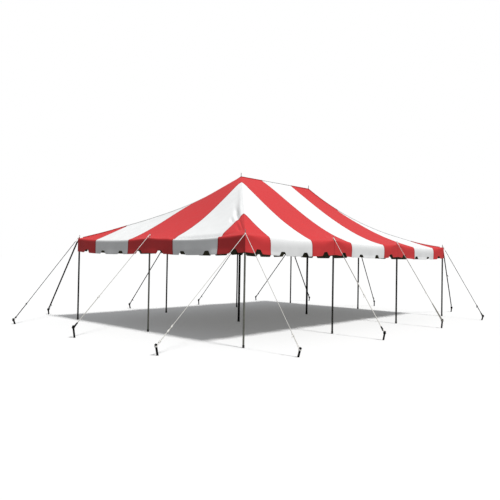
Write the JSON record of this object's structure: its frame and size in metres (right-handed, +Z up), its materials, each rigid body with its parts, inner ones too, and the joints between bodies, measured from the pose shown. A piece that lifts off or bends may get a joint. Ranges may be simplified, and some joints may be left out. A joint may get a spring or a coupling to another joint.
{
  "type": "marquee tent",
  "caption": "Pole tent with a striped vinyl roof, scalloped valance, centre and side poles, taut guy ropes and driven stakes.",
  "frame": {"origin": "at ground level, in the middle of the staked-out rectangle", "axes": "+X along the ridge and the long sides, the front long side faces -Y, +Z up"},
  "size_m": [12.5752, 9.2896, 4.01],
  "materials": {
    "canopy_vinyl": "coated vinyl, red and white stripes",
    "pole_steel": "weathered galvanised steel tube",
    "guy_rope": "white braided rope",
    "stake_iron": "black forged steel"
  },
  "bodies": {
    "root": {"canopy_front": "canopy_vinyl", "canopy_back": "canopy_vinyl", "canopy_left_end": "canopy_vinyl", "canopy_right_end": "canopy_vinyl", "valance_front": "canopy_vinyl", "valance_back": "canopy_vinyl", "valance_left_end": "canopy_vinyl", "valance_right_end": "canopy_vinyl", "centre_pole_left": "pole_steel", "centre_pole_right": "pole_steel", "side_pole_front_1": "pole_steel", "side_pole_front_2": "pole_steel", "side_pole_front_3": "pole_steel", "side_pole_front_4": "pole_steel", "side_pole_back_1": "pole_steel", "side_pole_back_2": "pole_steel", "side_pole_back_3": "pole_steel", "side_pole_back_4": "pole_steel", "side_pole_left_middle": "pole_steel", "side_pole_right_middle": "pole_steel", "guy_rope_front_1": "guy_rope", "guy_rope_front_1_end": "guy_rope", "guy_rope_front_2": "guy_rope", "guy_rope_front_3": "guy_rope", "guy_rope_front_4": "guy_rope", "guy_rope_front_4_end": "guy_rope", "guy_rope_back_1": "guy_rope", "guy_rope_back_1_end": "guy_rope", "guy_rope_back_2": "guy_rope", "guy_rope_back_3": "guy_rope", "guy_rope_back_4": "guy_rope", "guy_rope_back_4_end": "guy_rope", "guy_rope_left_middle": "guy_rope", "guy_rope_right_middle": "guy_rope", "stake_front_1": "stake_iron", "stake_front_1_end": "stake_iron", "stake_front_2": "stake_iron", "stake_front_3": "stake_iron", "stake_front_4": "stake_iron", "stake_front_4_end": "stake_iron", "stake_back_1": "stake_iron", "stake_back_1_end": "stake_iron", "stake_back_2": "stake_iron", "stake_back_3": "stake_iron", "stake_back_4": "stake_iron", "stake_back_4_end": "stake_iron", "stake_left_middle": "stake_iron", "stake_right_middle": "stake_iron"}
  },
  "joints": []
}
